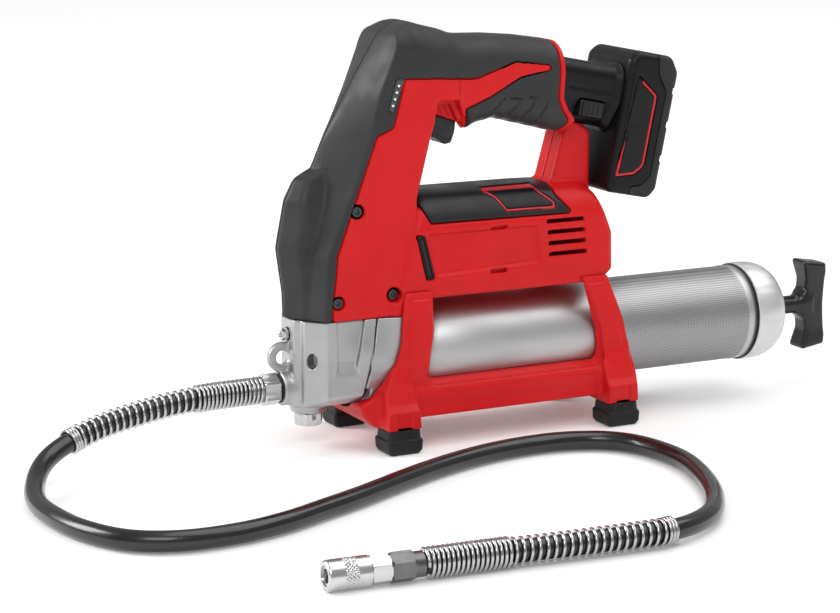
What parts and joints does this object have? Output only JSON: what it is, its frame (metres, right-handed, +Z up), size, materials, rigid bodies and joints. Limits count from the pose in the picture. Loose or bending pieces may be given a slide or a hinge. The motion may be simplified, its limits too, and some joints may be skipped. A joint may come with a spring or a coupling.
{
  "type": "grease gun",
  "caption": "Cordless cartridge grease gun with a motor housing, grease tube in a footed cradle, pump head, T-handle plunger, battery and a flexible hose with coupler.",
  "frame": {"origin": "on the surface that the feet stand on, below the middle of the tool (hose and coupler left out)", "axes": "+X along the grease tube towards the T-handle, +Y to the side away from the left cover, +Z up; Y=0 is the parting plane of the covers"},
  "size_m": [0.5371, 0.3072, 0.2376],
  "materials": {
    "red_plastic": "moulded red plastic, fine satin texture",
    "grey_rubber": "soft dark grey overmould",
    "dark_plastic": "matte black plastic",
    "battery_plastic": "matte black battery plastic",
    "cast_metal": "bead blasted die casting",
    "tube_steel": "bright drawn tube, knurled behind the cradle",
    "cap_metal": "satin casting",
    "bright_steel": "zinc plated steel",
    "spring_steel": "bright spring wire",
    "dark_steel": "oiled dark steel",
    "bronze": "sintered bronze",
    "copper_winding": "enamelled copper winding",
    "black_rubber": "nitrile rubber",
    "hose_rubber": "glossy black thermoplastic hose cover",
    "clear_lens": "smoked gauge window",
    "led_white": "milky light lens",
    "board_green": "printed circuit board",
    "cell_wrap": "shrink wrapped cell",
    "packing_white": "filled seal packing"
  },
  "bodies": {
    "root": {"housing_left": "red_plastic", "housing_right": "red_plastic", "overmould_left": "grey_rubber", "overmould_right": "grey_rubber", "motor_cover": "dark_plastic", "label_plate": "dark_plastic", "slot_inserts": "dark_plastic", "gauge_lens": "clear_lens", "gauge_leds": "led_white", "housing_screws": "dark_steel", "cradle_left": "red_plastic", "cradle_right": "red_plastic", "foot_front_left": "black_rubber", "foot_front_right": "black_rubber", "foot_rear_left": "black_rubber", "foot_rear_right": "black_rubber", "pump_head": "cast_metal", "head_plug": "bright_steel", "check_ball": "bright_steel", "check_spring": "spring_steel", "piston_packing": "packing_white", "tube_collar": "tube_steel", "grease_tube": "tube_steel", "rear_cap": "cap_metal", "cap_gasket": "black_rubber", "follower_spring": "spring_steel", "motor_can": "bright_steel", "motor_magnets": "dark_steel", "motor_bushes": "bronze", "ring_gear": "dark_steel", "gear_case": "dark_steel", "carrier_bearing": "bright_steel", "switch_body": "dark_plastic", "control_board": "board_green", "terminal_block": "bronze", "hose_nut": "bright_steel", "hose_tube": "hose_rubber", "guard_pump_end": "spring_steel", "guard_coupler_end": "spring_steel", "hose_end_fitting": "bright_steel", "coupler": "bright_steel"},
    "follower": {"follower": "dark_plastic", "follower_seal": "black_rubber"},
    "rod": {"plunger_rod": "bright_steel", "t_handle": "dark_plastic"},
    "rotor": {"rotor": "copper_winding", "sun_gear": "dark_steel"},
    "crank": {"crank_carrier": "dark_steel"},
    "planet_1": {"planet_gear_1": "dark_steel"},
    "planet_2": {"planet_gear_2": "dark_steel"},
    "planet_3": {"planet_gear_3": "dark_steel"},
    "piston": {"yoke": "dark_steel", "pump_piston": "bright_steel"},
    "trigger": {"trigger": "dark_plastic"},
    "battery": {"battery_case": "battery_plastic", "battery_base_shell": "battery_plastic", "battery_cells": "cell_wrap"},
    "latch_left": {"battery_latch_left": "battery_plastic"},
    "latch_right": {"battery_latch_right": "battery_plastic"},
    "bleeder": {"bleeder_valve": "bright_steel"}
  },
  "joints": [
    {"name": "plunger_slide", "type": "slide", "parent": "root", "child": "follower", "axis": [1, 0, 0], "range_m": [0, 0.195], "stiffness_N_per_m": 250, "springref_m": -0.1, "deforming": ["follower_spring"]},
    {"name": "handle_turn", "type": "hinge", "parent": "follower", "child": "rod", "pos_m": [0.1, 0, 0.05], "axis": [1, 0, 0], "continuous": true},
    {"name": "rotor_spin", "type": "hinge", "parent": "root", "child": "rotor", "pos_m": [-0.09, 0, 0.11], "axis": [1, 0, 0], "continuous": true},
    {"name": "crank_spin", "type": "hinge", "parent": "root", "child": "crank", "pos_m": [-0.14, 0, 0.11], "axis": [1, 0, 0], "continuous": true},
    {"name": "planet_1_spin", "type": "hinge", "parent": "crank", "child": "planet_1", "pos_m": [-0.13, 0.0108, 0.11], "axis": [1, 0, 0], "continuous": true},
    {"name": "planet_2_spin", "type": "hinge", "parent": "crank", "child": "planet_2", "pos_m": [-0.13, -0.0054, 0.11935], "axis": [1, 0, 0], "continuous": true},
    {"name": "planet_3_spin", "type": "hinge", "parent": "crank", "child": "planet_3", "pos_m": [-0.13, -0.0054, 0.10065], "axis": [1, 0, 0], "continuous": true},
    {"name": "piston_stroke", "type": "slide", "parent": "root", "child": "piston", "axis": [0, 0, 1], "range_m": [-0.005, 0.005]},
    {"name": "trigger_pull", "type": "slide", "parent": "root", "child": "trigger", "axis": [1, 0, 0], "range_m": [0, 0.005], "stiffness_N_per_m": 800, "springref_m": -0.004},
    {"name": "battery_slide", "type": "slide", "parent": "root", "child": "battery", "axis": [0.9796, 0, -0.2011], "range_m": [0, 0.085]},
    {"name": "latch_left_press", "type": "slide", "parent": "battery", "child": "latch_left", "axis": [0, 1, 0], "range_m": [0, 0.0025], "stiffness_N_per_m": 1200, "springref_m": -0.002},
    {"name": "latch_right_press", "type": "slide", "parent": "battery", "child": "latch_right", "axis": [0, -1, 0], "range_m": [0, 0.0025], "stiffness_N_per_m": 1200, "springref_m": -0.002},
    {"name": "bleeder_press", "type": "slide", "parent": "root", "child": "bleeder", "axis": [1, 0, 0], "range_m": [0, 0.0015], "stiffness_N_per_m": 1500, "springref_m": -0.001}
  ],
  "couplings": [
    {"joint": "crank_spin", "follows": "rotor_spin", "ratio": 0.22222},
    {"joint": "planet_1_spin", "follows": "rotor_spin", "ratio": -0.62222},
    {"joint": "planet_2_spin", "follows": "rotor_spin", "ratio": -0.62222},
    {"joint": "planet_3_spin", "follows": "rotor_spin", "ratio": -0.62222}
  ]
}
